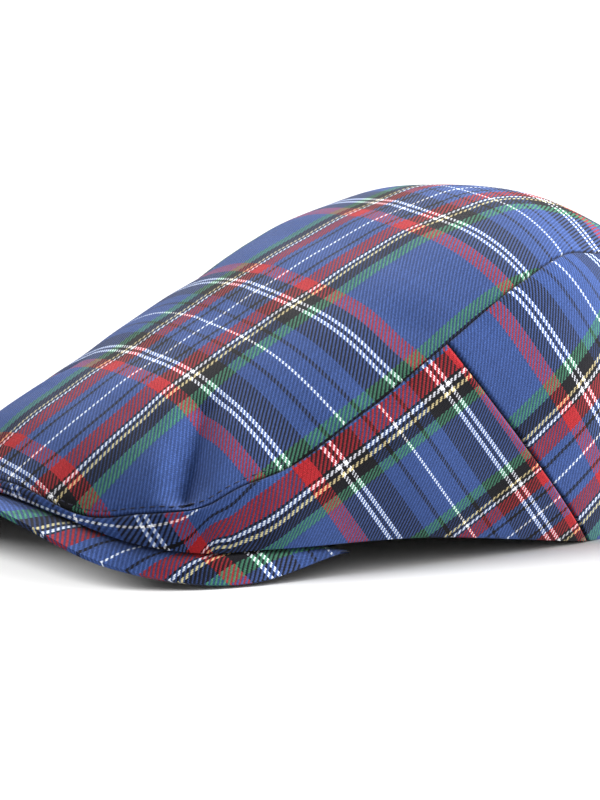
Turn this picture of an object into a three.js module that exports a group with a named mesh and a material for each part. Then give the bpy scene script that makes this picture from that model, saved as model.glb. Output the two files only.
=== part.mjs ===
// Flat cap of tartan twill: one long top panel, two front side panels, a wrap-round back panel and a
// cloth-covered peak. Every piece is a thin wall of its own, sewn edge to edge with a hair of a gap.
// Millimetres, +Z up, the peak towards -Y, the wearer's left towards +X. The cap rests on Z = 0.
import * as THREE from "three";

// Driving dimensions
const CLOTH_THICKNESS = 2.0; // twill with its fused backing
const PEAK_THICKNESS = 3.0; // board with cloth on both faces
const SEAM_GAP = 0.5; // between neighbouring panels
const PEAK_SEAT_GAP = 1.2; // from the crown's front hem down to the peak
const FALL_SPAN = 60; // distance from the centre line at which "fall" is measured
const FALL_POWER = 2.8; // the top is flat in the middle and bends near its edges
const SHOULDER_SHARE = 0.2; // how far the top's slope carries on into a side panel, by panel height
const SKIRT_SHARE = 0.42; // how far the upright hem carries up into a side panel, by panel height
const SKIRT_LEAN = 0.1; // the hem tucks in a little
const PEAK_SEAT_SHARE = 0.6; // where across the peak the crown's hem sits on it

// Top panel, one row per cross-section from front to back.
// y: place along the cap, crest: height of the centre line, fall: drop at FALL_SPAN from the centre line.
const TOP_SECTIONS = [
  { y: -122, crest: 24.8, fall: 60 },
  { y: -105, crest: 38.6, fall: 25.5 },
  { y: -85, crest: 50.4, fall: 17.6 },
  { y: -60, crest: 61.2, fall: 16 },
  { y: -30, crest: 74.7, fall: 12.6 },
  { y: 0, crest: 87.0, fall: 10.4 },
  { y: 25, crest: 96.4, fall: 9.2 },
  { y: 48, crest: 102.6, fall: 12.4 },
  { y: 70, crest: 101.2, fall: 22 },
  { y: 90, crest: 93.2, fall: 28 },
  { y: 110, crest: 80.8, fall: 32 },
];

// Left half of the crown's outline, one row per station from centre front to centre back.
// seam_x, seam_y: edge of the top panel in plan; rim_x, rim_y, rim_z: lower edge of the wall below it;
// swell: how roundly the wall swells out between the two.
const STATIONS = [
  { seam_x: 0, seam_y: -120.2, rim_x: 0, rim_y: -120.6, rim_z: 22.2, swell: 1.0 },
  { seam_x: 30, seam_y: -117, rim_x: 31, rim_y: -117.2, rim_z: 19.0, swell: 1.0 },
  { seam_x: 50.4, seam_y: -106, rim_x: 53, rim_y: -106, rim_z: 13.0, swell: 1.0 },
  { seam_x: 64.2, seam_y: -92.6, rim_x: 66, rim_y: -89.5, rim_z: 10.2, swell: 0.9 },
  { seam_x: 68.8, seam_y: -75.2, rim_x: 70.5, rim_y: -69.6, rim_z: 10.0, swell: 0.8 },
  { seam_x: 71.4, seam_y: -57, rim_x: 72.8, rim_y: -41.7, rim_z: 9.3, swell: 0.62 },
  { seam_x: 72.6, seam_y: -28, rim_x: 74.4, rim_y: -11.3, rim_z: 8.0, swell: 0.5 },
  { seam_x: 71.6, seam_y: 0, rim_x: 75, rim_y: 20, rim_z: 4.2, swell: 0.5 },
  { seam_x: 67.6, seam_y: 30, rim_x: 73, rim_y: 50.6, rim_z: 0.2, swell: 0.7 },
  { seam_x: 59, seam_y: 54, rim_x: 64.5, rim_y: 73, rim_z: 0.0, swell: 1.0 },
  { seam_x: 47, seam_y: 77, rim_x: 51.5, rim_y: 88, rim_z: 0.0, swell: 1.2 },
  { seam_x: 27, seam_y: 98, rim_x: 29, rim_y: 99, rim_z: 0.0, swell: 1.3 },
  { seam_x: 0, seam_y: 106, rim_x: 0, rim_y: 103, rim_z: 0.0, swell: 1.3 },
];

// The side seam leaves the top panel at one station and reaches the rim at another, further back.
const SIDE_SEAM = { top_station: 6.82, rim_station: 7.92, power: 1.8 };

// Left half of the peak, one row for each of the first stations.
// edge_x, edge_y, edge_z: outer edge of its upper face; head_x, head_y, head_z: inner edge, along the brow.
const PEAK_ROWS = [
  { edge_x: 0, edge_y: -134, edge_z: 25.6, head_x: 0, head_y: -98, head_z: 21.0 },
  { edge_x: 30, edge_y: -130.5, edge_z: 20.4, head_x: 26, head_y: -94.5, head_z: 18.5 },
  { edge_x: 54, edge_y: -118.5, edge_z: 10.4, head_x: 45, head_y: -85.5, head_z: 13.4 },
  { edge_x: 68, edge_y: -99.4, edge_z: 3.6, head_x: 57, head_y: -73.5, head_z: 9.8 },
  { edge_x: 74.6, edge_y: -77, edge_z: 2, head_x: 65, head_y: -59, head_z: 8.4 },
  { edge_x: 73.8, edge_y: -42, edge_z: 7.8, head_x: 69.5, head_y: -40.8, head_z: 7.8 },
];

// Soft dents in the top panel, each a valley along a line in plan, on both sides of the cap.
const FOLDS = [
  { from_x: 40, from_y: -64, to_x: 58, to_y: -83, depth: 2.4, width: 7 },
  { from_x: 60, from_y: -12, to_x: 70, to_y: -30, depth: 1.2, width: 9 },
];

// Facets along and across each piece
const GRID = {
  top: { along: 32, across: 28 },
  side: { along: 36, across: 7 },
  back: { along: 36, across: 9 },
  peak: { along: 36, across: 6 },
};

// Colours read from the cloth
const TARTAN_BLUE = 0x3d55a6;
const clothMaterial = new THREE.MeshStandardMaterial({ color: TARTAN_BLUE, roughness: 0.9, metalness: 0 });
const peakMaterial = new THREE.MeshStandardMaterial({ color: TARTAN_BLUE, roughness: 0.85, metalness: 0 });

// One column of a table as a smooth function of y, through every row.
function smoothColumn(table, column) {
  const slopes = table.map((row, i) => {
    const before = table[Math.max(i - 1, 0)];
    const after = table[Math.min(i + 1, table.length - 1)];
    return (after[column] - before[column]) / (after.y - before.y);
  });
  return (y) => {
    const last = table.length - 2;
    const i = Math.min(Math.max(table.findLastIndex((row) => row.y <= y), 0), last);
    const [a, b] = [table[i], table[i + 1]];
    const span = b.y - a.y;
    const s = (y - a.y) / span;
    const rise = s * s * (3 - 2 * s);
    const ease = s * (1 - s) * ((1 - s) * slopes[i] - s * slopes[i + 1]) * span;
    return a[column] + rise * (b[column] - a[column]) + ease;
  };
}

const crestAt = smoothColumn(TOP_SECTIONS, "crest");
const fallAt = smoothColumn(TOP_SECTIONS, "fall");

// Depth of one fold at a point in plan.
function foldDepth(fold, x, y) {
  const from = new THREE.Vector2(fold.from_x, fold.from_y);
  const line = new THREE.Vector2(fold.to_x, fold.to_y).sub(from);
  const offset = new THREE.Vector2(x, y).sub(from);
  const along = THREE.MathUtils.clamp(offset.dot(line) / line.lengthSq(), 0, 1);
  const away = offset.addScaledVector(line, -along).length() / fold.width;
  return fold.depth * Math.exp(-away * away);
}

// Height of the top panel's outer face.
function topHeight(x, y) {
  const reach = Math.abs(x);
  const dents = FOLDS.reduce((sum, fold) => sum + foldDepth(fold, reach, y), 0);
  return crestAt(y) - fallAt(y) * (reach / FALL_SPAN) ** FALL_POWER - dents;
}

// Slope of the top panel as (dz/dx, dz/dy).
function topSlope(x, y) {
  const step = 0.25;
  return new THREE.Vector2(
    (topHeight(x + step, y) - topHeight(x - step, y)) / (2 * step),
    (topHeight(x, y + step) - topHeight(x, y - step)) / (2 * step),
  );
}

// A closed curve round the crown through the stations and their mirror images.
function roundCurve(pointOf) {
  const left = STATIONS.map(pointOf);
  const right = left.slice(1, -1).reverse().map((p) => new THREE.Vector3(-p.x, p.y, p.z));
  return new THREE.CatmullRomCurve3([...left, ...right], true, "centripetal");
}

const STATION_COUNT = 2 * (STATIONS.length - 1);
const seamPlan = roundCurve((row) => new THREE.Vector3(row.seam_x, row.seam_y, 0));
const rimCurve = roundCurve((row) => new THREE.Vector3(row.rim_x, row.rim_y, row.rim_z));
const swellCurve = roundCurve((row) => new THREE.Vector3(0, 0, row.swell));
const turnOf = (station) => station / STATION_COUNT;
const onCurve = (curve, turn) => curve.getPoint(((turn % 1) + 1) % 1);

// Unit vector in plan from the seam towards the outside of the crown.
function outwardAt(turn) {
  const step = 1e-3;
  const tangent = onCurve(seamPlan, turn + step).sub(onCurve(seamPlan, turn - step));
  return new THREE.Vector3(tangent.y, -tangent.x, 0).normalize();
}

// The top panel's edge, on its outer face, moved out (or in, if negative) in plan.
function seamPoint(turn, shift = 0) {
  const p = onCurve(seamPlan, turn).addScaledVector(outwardAt(turn), shift);
  return p.setZ(topHeight(p.x, p.y));
}

// The crown's lower edge, which never dips below the resting plane.
function rimPoint(turn) {
  const p = onCurve(rimCurve, turn);
  return p.setZ(Math.max(p.z, 0));
}

// Outer face of the wall under the seam: across 0 is just below the seam and 1 the rim.
// The section starts along the top panel's own slope and ends nearly upright.
function wallPoint(turn, across) {
  const seam = seamPoint(turn);
  const rim = rimPoint(turn);
  const reach = seam.distanceTo(rim) * onCurve(swellCurve, turn).z;
  const out = outwardAt(turn);
  const slope = topSlope(seam.x, seam.y);
  const shoulder = new THREE.Vector3(out.x, out.y, slope.x * out.x + slope.y * out.y).normalize();
  const skirt = new THREE.Vector3(out.x * SKIRT_LEAN, out.y * SKIRT_LEAN, 1).normalize();
  const start = seam.clone().addScaledVector(shoulder, SEAM_GAP / 2);
  const section = new THREE.CubicBezierCurve3(
    start,
    start.clone().addScaledVector(shoulder, reach * SHOULDER_SHARE),
    rim.clone().addScaledVector(skirt, reach * SKIRT_SHARE),
    rim,
  );
  return section.getPoint(across);
}

// Outward normal of a surface given as a function of two parameters from 0 to 1.
function surfaceNormal(surface, u, v) {
  const step = 1e-3;
  const [u0, u1] = [Math.max(u - step, 0), Math.min(u + step, 1)];
  const [v0, v1] = [Math.max(v - step, 0), Math.min(v + step, 1)];
  const alongU = surface(u1, v).sub(surface(u0, v));
  const alongV = surface(u, v1).sub(surface(u, v0));
  return alongV.cross(alongU).normalize();
}

// A closed solid between an outer face and an inner face, both grids over the same two parameters.
function shellGeometry(outer, inner, grid) {
  const [nu, nv] = [grid.along, grid.across];
  const positions = [];
  for (const face of [outer, inner])
    for (let j = 0; j <= nv; j++)
      for (let i = 0; i <= nu; i++) positions.push(...face(i / nu, j / nv).toArray());
  const layer = (nu + 1) * (nv + 1);
  const at = (i, j, depth) => depth * layer + j * (nu + 1) + i;
  const triangles = [];
  const quad = (a, b, c, d) => triangles.push(a, c, b, a, d, c);
  for (let j = 0; j < nv; j++)
    for (let i = 0; i < nu; i++) {
      quad(at(i, j, 0), at(i + 1, j, 0), at(i + 1, j + 1, 0), at(i, j + 1, 0));
      quad(at(i, j, 1), at(i, j + 1, 1), at(i + 1, j + 1, 1), at(i + 1, j, 1));
    }
  for (let i = 0; i < nu; i++) {
    quad(at(i, 0, 0), at(i, 0, 1), at(i + 1, 0, 1), at(i + 1, 0, 0));
    quad(at(i, nv, 0), at(i + 1, nv, 0), at(i + 1, nv, 1), at(i, nv, 1));
  }
  for (let j = 0; j < nv; j++) {
    quad(at(0, j, 0), at(0, j + 1, 0), at(0, j + 1, 1), at(0, j, 1));
    quad(at(nu, j, 0), at(nu, j, 1), at(nu, j + 1, 1), at(nu, j + 1, 0));
  }
  const geometry = new THREE.BufferGeometry();
  geometry.setAttribute("position", new THREE.Float32BufferAttribute(positions, 3));
  geometry.setIndex(triangles);
  geometry.computeVertexNormals();
  return geometry;
}

// A surface thickened inwards along its normals.
function thickened(surface, normalAt, thickness) {
  return (u, v) => surface(u, v).addScaledVector(normalAt(u, v), -thickness);
}

// Top panel: a patch between its front, back and side edges in plan, raised to the crown's height.
const FRONT_CORNER = turnOf(3);
const BACK_CORNER = turnOf(10);

function topPlan(along, across) {
  const side = 2 * across - 1;
  const edge = (turn) => seamPoint(turn, -SEAM_GAP / 2);
  const mirrored = (turn, sign) => edge(turn).multiply(new THREE.Vector3(sign, 1, 1));
  const sign = side < 0 ? -1 : 1;
  const front = mirrored(Math.abs(side) * FRONT_CORNER, sign);
  const back = mirrored(0.5 - Math.abs(side) * (0.5 - BACK_CORNER), sign);
  const flank = THREE.MathUtils.lerp(FRONT_CORNER, BACK_CORNER, along);
  const across_flanks = mirrored(flank, -1).lerp(mirrored(flank, 1), across);
  const corners = mirrored(FRONT_CORNER, -1)
    .lerp(mirrored(FRONT_CORNER, 1), across)
    .lerp(mirrored(BACK_CORNER, -1).lerp(mirrored(BACK_CORNER, 1), across), along);
  return front.lerp(back, along).add(across_flanks).sub(corners);
}

function topSurface(along, across) {
  const p = topPlan(along, across);
  return p.setZ(topHeight(p.x, p.y));
}

function slopeNormal(p) {
  const slope = topSlope(p.x, p.y);
  return new THREE.Vector3(-slope.x, -slope.y, 1).normalize();
}

const topNormal = (along, across) => slopeNormal(topPlan(along, across));

// Wall panels: stretches of the wall between two seams that may slant.
const sideSeamTurn = (drop) =>
  turnOf(THREE.MathUtils.lerp(SIDE_SEAM.top_station, SIDE_SEAM.rim_station, drop ** SIDE_SEAM.power));

const turnBetween = (startAt, endAt, along, across) =>
  THREE.MathUtils.lerp(startAt(across), endAt(across), along);

// Half a seam gap as a share of the way round the crown.
const HALF_GAP_TURN = SEAM_GAP / 2 / rimCurve.getLength();

const frontLeft = () => HALF_GAP_TURN;
const sideLeft = (drop) => sideSeamTurn(drop) - HALF_GAP_TURN;
const backLeft = (drop) => sideSeamTurn(drop) + HALF_GAP_TURN;
const backRight = (drop) => 1 - backLeft(drop);
const sideRight = (drop) => 1 - sideLeft(drop);
const frontRight = () => 1 - HALF_GAP_TURN;

// Peak: a curved board through its inner edge, the line under the crown's hem and its outer edge.
function peakCurve(edge) {
  const left = PEAK_ROWS.map(
    (row) => new THREE.Vector3(row[`${edge}_x`], row[`${edge}_y`], row[`${edge}_z`]),
  );
  const right = left.slice(1).reverse().map((p) => new THREE.Vector3(-p.x, p.y, p.z));
  return new THREE.CatmullRomCurve3([...right, ...left], false, "centripetal");
}

const peakEdge = peakCurve("edge");
const peakHead = peakCurve("head");

function peakSurface(along, across) {
  const turn = (along - 0.5) * 2 * turnOf(PEAK_ROWS.length - 1);
  const seat = rimPoint(turn);
  seat.z -= PEAK_SEAT_GAP;
  const a = PEAK_SEAT_SHARE;
  const headShare = ((across - a) * (across - 1)) / a;
  const seatShare = (across * (across - 1)) / (a * (a - 1));
  const edgeShare = (across * (across - a)) / (1 - a);
  return seat
    .multiplyScalar(seatShare)
    .addScaledVector(peakHead.getPoint(along), headShare)
    .addScaledVector(peakEdge.getPoint(along), edgeShare);
}

// The cap
function piece(name, material, surface, normalAt, thickness, grid) {
  const geometry = shellGeometry(surface, thickened(surface, normalAt, thickness), grid);
  const mesh = new THREE.Mesh(geometry, material);
  mesh.name = name;
  return mesh;
}

// A wall panel meets the top panel square across the seam, and its hem is cut level.
function wallPiece(name, startAt, endAt, grid) {
  const surface = (along, across) => wallPoint(turnBetween(startAt, endAt, along, across), across);
  const normalAt = (along, across) => {
    if (across === 0) return slopeNormal(seamPoint(turnBetween(startAt, endAt, along, 0)));
    const normal = surfaceNormal(surface, along, across);
    return across === 1 ? normal.setZ(0).normalize() : normal;
  };
  return piece(name, clothMaterial, surface, normalAt, CLOTH_THICKNESS, grid);
}

const cap = new THREE.Group();
cap.add(
  piece("crown_top", clothMaterial, topSurface, topNormal, CLOTH_THICKNESS, GRID.top),
  wallPiece("side_left", frontLeft, sideLeft, GRID.side),
  wallPiece("back_panel", backLeft, backRight, GRID.back),
  wallPiece("side_right", sideRight, frontRight, GRID.side),
  piece("peak", peakMaterial, peakSurface, (u, v) => surfaceNormal(peakSurface, u, v), PEAK_THICKNESS, GRID.peak),
);

// The origin is under the middle of the cap.
const reach = new THREE.Box3().setFromObject(cap);
cap.position.y = -(reach.min.y + reach.max.y) / 2;

export default cap;
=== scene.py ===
"""Flat cap of tartan twill: the looks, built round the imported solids.

The five sewn pieces are rebuilt as fine cloth shells from the same driving tables as the solids,
with rolled seams, a turned hem, top-stitching along the front and a woven tartan laid thread by thread.
Tables are in millimetres and every mesh is in metres, in the solids' own frame.
"""
import math

import bpy
import numpy as np
from mathutils import Matrix, Vector
from mathutils.kdtree import KDTree


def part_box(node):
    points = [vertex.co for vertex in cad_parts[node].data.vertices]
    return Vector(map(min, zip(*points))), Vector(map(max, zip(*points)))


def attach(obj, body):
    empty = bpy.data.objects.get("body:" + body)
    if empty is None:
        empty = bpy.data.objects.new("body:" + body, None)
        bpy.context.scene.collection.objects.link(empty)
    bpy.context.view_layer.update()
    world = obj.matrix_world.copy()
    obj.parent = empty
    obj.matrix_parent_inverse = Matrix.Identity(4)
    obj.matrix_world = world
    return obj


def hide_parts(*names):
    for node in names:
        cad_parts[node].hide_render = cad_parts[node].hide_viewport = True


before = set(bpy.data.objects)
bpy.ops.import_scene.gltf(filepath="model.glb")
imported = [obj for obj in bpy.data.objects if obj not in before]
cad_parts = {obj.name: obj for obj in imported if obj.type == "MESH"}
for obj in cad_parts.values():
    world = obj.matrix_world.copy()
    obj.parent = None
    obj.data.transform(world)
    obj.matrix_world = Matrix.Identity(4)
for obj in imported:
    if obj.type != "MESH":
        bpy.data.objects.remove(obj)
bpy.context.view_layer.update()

MM = 0.001
MIRROR = np.array([-1.0, 1.0, 1.0])

# Sizes of the cloth
CLOTH_THICKNESS = 2.0
PEAK_THICKNESS = 3.0
SEAM_GAP = 0.08  # the rolled edges all but meet at the bottom of a seam
FALL_SPAN = 60.0  # mm from the middle at which a cross-section of the top has dropped by its fall
FALL_POWER = 2.8
SHOULDER_SHARE = 0.2  # how far a wall carries on the top's slope, as a share of its swell
SKIRT_SHARE = 0.42  # how far it rises from the rim before it bends in, likewise
SKIRT_LEAN = 0.1
PEAK_SEAT_SHARE = 0.6  # share of the peak's width that lies behind the rim
PEAK_SEAT_GAP = 1.2  # mm from the rim down to the peak
SEAM_SHADE_WIDTH = 0.5  # mm beside a seam over which its shade is painted into the cloth's colour
SEAM_ROLL = 1.3  # radius over which a sewn edge rolls down into its seam
EDGE_ROUND = 0.7  # radius of a turned edge
PEAK_EDGE_ROUND = 0.65
PEAK_TAPER = 24.0  # mm over which the peak thins towards its two tips
PEAK_TIP_SHARE = 0.25  # thickness left at the tips
PEAK_TIP_SHADE = 0.9  # painted shade on the tips, tucked up under the side panels
PEAK_LIP_SHADE = 0.9  # painted shadow beside the lip that hangs over the peak
PEAK_LIP_SPAN = 8.0
PEAK_EDGE_SHARE = 0.45  # thickness left at the peak's outer edge
PEAK_EDGE_SPAN = 7.0

# Slow waves over the cloth that fade towards its seams, and the finer puckers beside them
WAVES = dict(height=0.28, length=34, seam_fade=9)
PUCKERS = dict(height=0.2, length=11, reach=6, seam_fade=2)
WAVE_COUNT = 7
WAVE_SPREAD = (0.7, 1.6)  # shortest and longest wave, as shares of the length above
WAVE_SEEDS = dict(top=11, side=23, back=37)

# Top panel, one row per cross-section from front to back
TOP_SECTIONS = [
    dict(y=-122, crest=24.8, fall=60),
    dict(y=-105, crest=38.6, fall=25.5),
    dict(y=-85, crest=50.4, fall=17.6),
    dict(y=-60, crest=61.2, fall=16),
    dict(y=-30, crest=74.7, fall=12.6),
    dict(y=0, crest=87.0, fall=10.4),
    dict(y=25, crest=96.4, fall=9.2),
    dict(y=48, crest=102.6, fall=12.4),
    dict(y=70, crest=101.2, fall=22),
    dict(y=90, crest=93.2, fall=28),
    dict(y=110, crest=80.8, fall=32),
]

# Left half of the crown's outline, one row per station from centre front to centre back
STATIONS = [
    dict(seam_x=0, seam_y=-120.2, rim_x=0, rim_y=-120.6, rim_z=22.2, swell=1.0),
    dict(seam_x=30, seam_y=-117, rim_x=31, rim_y=-117.2, rim_z=19.0, swell=1.0),
    dict(seam_x=50.4, seam_y=-106, rim_x=53, rim_y=-106, rim_z=13.0, swell=1.0),
    dict(seam_x=64.2, seam_y=-92.6, rim_x=66, rim_y=-89.5, rim_z=10.2, swell=0.9),
    dict(seam_x=68.8, seam_y=-75.2, rim_x=70.5, rim_y=-69.6, rim_z=10.0, swell=0.8),
    dict(seam_x=71.4, seam_y=-57, rim_x=72.8, rim_y=-41.7, rim_z=9.3, swell=0.62),
    dict(seam_x=72.6, seam_y=-28, rim_x=74.4, rim_y=-11.3, rim_z=8.0, swell=0.5),
    dict(seam_x=71.6, seam_y=0, rim_x=75, rim_y=20, rim_z=4.2, swell=0.5),
    dict(seam_x=67.6, seam_y=30, rim_x=73, rim_y=50.6, rim_z=0.2, swell=0.7),
    dict(seam_x=59, seam_y=54, rim_x=64.5, rim_y=73, rim_z=0.0, swell=1.0),
    dict(seam_x=47, seam_y=77, rim_x=51.5, rim_y=88, rim_z=0.0, swell=1.2),
    dict(seam_x=27, seam_y=98, rim_x=29, rim_y=99, rim_z=0.0, swell=1.3),
    dict(seam_x=0, seam_y=106, rim_x=0, rim_y=103, rim_z=0.0, swell=1.3),
]
SIDE_SEAM = dict(top_station=6.82, rim_station=7.92, power=1.8)  # slants from a side panel's top to the rim

# Left half of the peak, one row for each of the first stations
PEAK_ROWS = [
    dict(edge_x=0, edge_y=-134, edge_z=25.6, head_x=0, head_y=-98, head_z=21.0),
    dict(edge_x=30, edge_y=-130.5, edge_z=20.4, head_x=26, head_y=-94.5, head_z=18.5),
    dict(edge_x=54, edge_y=-118.5, edge_z=10.4, head_x=45, head_y=-85.5, head_z=13.4),
    dict(edge_x=68, edge_y=-99.4, edge_z=3.6, head_x=57, head_y=-73.5, head_z=9.8),
    dict(edge_x=74.6, edge_y=-77, edge_z=2, head_x=65, head_y=-59, head_z=8.4),
    dict(edge_x=73.8, edge_y=-42, edge_z=7.8, head_x=69.5, head_y=-40.8, head_z=7.8),
]

# Soft dents in the top panel, each a valley along a line in plan, on both sides of the cap
FOLDS = [
    dict(from_x=60, from_y=-12, to_x=70, to_y=-30, depth=1.2, width=9),
]

# The crease that runs down each front corner of the top panel and fades at the seam,
# with a soft ridge before it; start_share is its depth at its upper end
CREASE = dict(
    from_x=42, from_y=-74, to_x=61.5, to_y=-94.4, depth=8.0, start_share=0.45, width=5.4, power=1.4,
    ridge=0.6, ridge_off=9.5, ridge_width=4.5, seam_fade=8.5,
)

# Cells along and across each cloth shell, and its usual length each way in mm
GRIDS = {
    "top": dict(cells=(190, 132), lengths=(250, 145)),
    "side": dict(cells=(160, 64), lengths=(190, 45)),
    "back": dict(cells=(240, 78), lengths=(330, 75)),
    "peak": dict(cells=(210, 44), lengths=(230, 38)),
}
FINE_STEPS = (0, 0.22, 0.45, 0.72, 1.05, 1.5, 2.1, 2.9)  # mm from a sewn edge, where the grid is finer


def column(table, name):
    return np.array([row[name] for row in table], float)


def smooth_column(table, key, name):
    """One column of a table as a smooth function of another, through every row."""
    places = column(table, key)
    values = column(table, name)
    low = np.maximum(np.arange(len(places)) - 1, 0)
    high = np.minimum(np.arange(len(places)) + 1, len(places) - 1)
    slopes = (values[high] - values[low]) / (places[high] - places[low])

    def at(place):
        i = np.clip(np.searchsorted(places, place, side="right") - 1, 0, len(places) - 2)
        span = places[i + 1] - places[i]
        s = (place - places[i]) / span
        rise = s * s * (3 - 2 * s)
        ease = s * (1 - s) * ((1 - s) * slopes[i] - s * slopes[i + 1]) * span
        return values[i] + rise * (values[i + 1] - values[i]) + ease

    return at


crest_at = smooth_column(TOP_SECTIONS, "y", "crest")
fall_at = smooth_column(TOP_SECTIONS, "y", "fall")


def fold_depth(fold, x, y):
    line_x = fold["to_x"] - fold["from_x"]
    line_y = fold["to_y"] - fold["from_y"]
    off_x = x - fold["from_x"]
    off_y = y - fold["from_y"]
    along = np.clip((off_x * line_x + off_y * line_y) / (line_x**2 + line_y**2), 0, 1)
    away = np.hypot(off_x - along * line_x, off_y - along * line_y) / fold["width"]
    return fold["depth"] * np.exp(-(away**2))


def top_height(x, y):
    reach = np.abs(x)
    dents = sum(fold_depth(fold, reach, y) for fold in FOLDS)
    return crest_at(y) - fall_at(y) * (reach / FALL_SPAN) ** FALL_POWER - dents


def top_slope(x, y, step=0.25):
    along_x = (top_height(x + step, y) - top_height(x - step, y)) / (2 * step)
    along_y = (top_height(x, y + step) - top_height(x, y - step)) / (2 * step)
    return along_x, along_y


SAME_PLACE = 1e-4  # two points of a curve that lie this close count as one


class SmoothCurve:
    """A curve through points, closed or open, read at shares of its number of steps."""

    def __init__(self, points, closed):
        points = np.array(points, float)
        if closed:
            self.points = np.vstack([points[-1], points, points[:2]])
            self.steps = len(points)
        else:
            self.points = np.vstack([2 * points[0] - points[1], points, 2 * points[-1] - points[-2]])
            self.steps = len(points) - 1
        self.closed = closed

    def at(self, share):
        share = np.asarray(share, float)
        place = (share % 1.0 if self.closed else np.clip(share, 0, 1)) * self.steps
        i = np.minimum(np.floor(place).astype(int), self.steps - 1)
        s = (place - i)[..., None]
        p0, p1, p2, p3 = (self.points[i + k] for k in range(4))
        pairs = ((p0, p1), (p1, p2), (p2, p3))
        before, middle, after = (np.sqrt(np.linalg.norm(b - a, axis=-1, keepdims=True)) for a, b in pairs)
        middle = np.where(middle < SAME_PLACE, 1.0, middle)
        before = np.where(before < SAME_PLACE, middle, before)
        after = np.where(after < SAME_PLACE, middle, after)
        leave = ((p1 - p0) / before - (p2 - p0) / (before + middle) + (p2 - p1) / middle) * middle
        arrive = ((p2 - p1) / middle - (p3 - p1) / (middle + after) + (p3 - p2) / after) * middle
        square = 3 * (p2 - p1) - 2 * leave - arrive
        cube = 2 * (p1 - p2) + leave + arrive
        return p1 + leave * s + square * s**2 + cube * s**3


def round_curve(*names):
    left = np.stack([column(STATIONS, name) if name else np.zeros(len(STATIONS)) for name in names], 1)
    right = left[1:-1][::-1] * MIRROR
    return SmoothCurve(np.vstack([left, right]), closed=True)


STATION_COUNT = 2 * (len(STATIONS) - 1)
seam_plan = round_curve("seam_x", "seam_y", None)
rim_curve = round_curve("rim_x", "rim_y", "rim_z")
swell_curve = round_curve(None, None, "swell")


def turn_of(station):
    return station / STATION_COUNT


def unit(v):
    return v / np.maximum(np.linalg.norm(v, axis=-1, keepdims=True), 1e-9)


def outward_at(turn, step=1e-3):
    tangent = seam_plan.at(turn + step) - seam_plan.at(turn - step)
    return unit(np.stack([tangent[..., 1], -tangent[..., 0], np.zeros(tangent.shape[:-1])], -1))


def seam_point(turn, shift=0.0):
    p = seam_plan.at(turn) + shift * outward_at(turn)
    p[..., 2] = top_height(p[..., 0], p[..., 1])
    return p


def rim_point(turn):
    p = rim_curve.at(turn)
    p[..., 2] = np.maximum(p[..., 2], 0)
    return p


def wall_point(turn, across):
    """Outer face of the wall under the seam: across 0 is at the seam and 1 at the rim."""
    seam = seam_point(turn)
    rim = rim_point(turn)
    reach = (np.linalg.norm(seam - rim, axis=-1) * swell_curve.at(turn)[..., 2])[..., None]
    out = outward_at(turn)
    slope_x, slope_y = top_slope(seam[..., 0], seam[..., 1])
    shoulder = out.copy()
    shoulder[..., 2] = slope_x * out[..., 0] + slope_y * out[..., 1]
    shoulder = unit(shoulder)
    skirt = out * SKIRT_LEAN
    skirt[..., 2] = 1
    start = seam + shoulder * SEAM_GAP / 2
    upper = start + shoulder * reach * SHOULDER_SHARE
    lower = rim + unit(skirt) * reach * SKIRT_SHARE
    t = np.asarray(across, float)[..., None]
    return start * (1 - t) ** 3 + 3 * upper * t * (1 - t) ** 2 + 3 * lower * t**2 * (1 - t) + rim * t**3


def side_seam_turn(across):
    first = SIDE_SEAM["top_station"]
    last = SIDE_SEAM["rim_station"]
    return turn_of(first + (last - first) * across ** SIDE_SEAM["power"])


FRONT_CORNER = turn_of(3)
BACK_CORNER = turn_of(10)


def top_plan(along, across):
    """The top panel's patch in plan, between its front, back and side edges."""
    side = 2 * across - 1
    sign = np.where(side < 0, -1.0, 1.0)

    def edge(turn, mirror):
        p = seam_point(turn, -SEAM_GAP / 2)
        p[..., 0] = p[..., 0] * mirror
        return p

    a = along[..., None]
    c = across[..., None]
    front = edge(np.abs(side) * FRONT_CORNER, sign)
    back = edge(0.5 - np.abs(side) * (0.5 - BACK_CORNER), sign)
    flank = FRONT_CORNER + (BACK_CORNER - FRONT_CORNER) * along
    flanks = edge(flank, -1.0) * (1 - c) + edge(flank, 1.0) * c
    front_turn = np.full_like(along, FRONT_CORNER)
    back_turn = np.full_like(along, BACK_CORNER)
    front_corners = edge(front_turn, -1.0) * (1 - c) + edge(front_turn, 1.0) * c
    back_corners = edge(back_turn, -1.0) * (1 - c) + edge(back_turn, 1.0) * c
    return front * (1 - a) + back * a + flanks - front_corners * (1 - a) - back_corners * a


def top_surface(along, across):
    p = top_plan(along, across)
    p[..., 2] = top_height(p[..., 0], p[..., 1])
    return p


def peak_curve(edge):
    left = np.stack([column(PEAK_ROWS, f"{edge}_{axis}") for axis in "xyz"], 1)
    right = left[1:][::-1] * MIRROR
    return SmoothCurve(np.vstack([right, left]), closed=False)


peak_edge = peak_curve("edge")
peak_head = peak_curve("head")


def peak_surface(along, across):
    turn = (along - 0.5) * 2 * turn_of(len(PEAK_ROWS) - 1)
    seat = rim_point(turn)
    seat[..., 2] -= PEAK_SEAT_GAP
    a = PEAK_SEAT_SHARE
    w = np.asarray(across, float)[..., None]
    head_share = (w - a) * (w - 1) / a
    seat_share = w * (w - 1) / (a * (a - 1))
    edge_share = w * (w - a) / (1 - a)
    return seat * seat_share + peak_head.at(along) * head_share + peak_edge.at(along) * edge_share


# Cloth surfaces as grids of points

ALL_EDGES = (0, 1, 2, 3)  # first along, last along, first across, last across
WALL_SEAMS = (0, 1, 2)  # all but the rim
INSIDE_DROP = 25.0  # mm under a panel's middle to a place that is surely inside the cap


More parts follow.
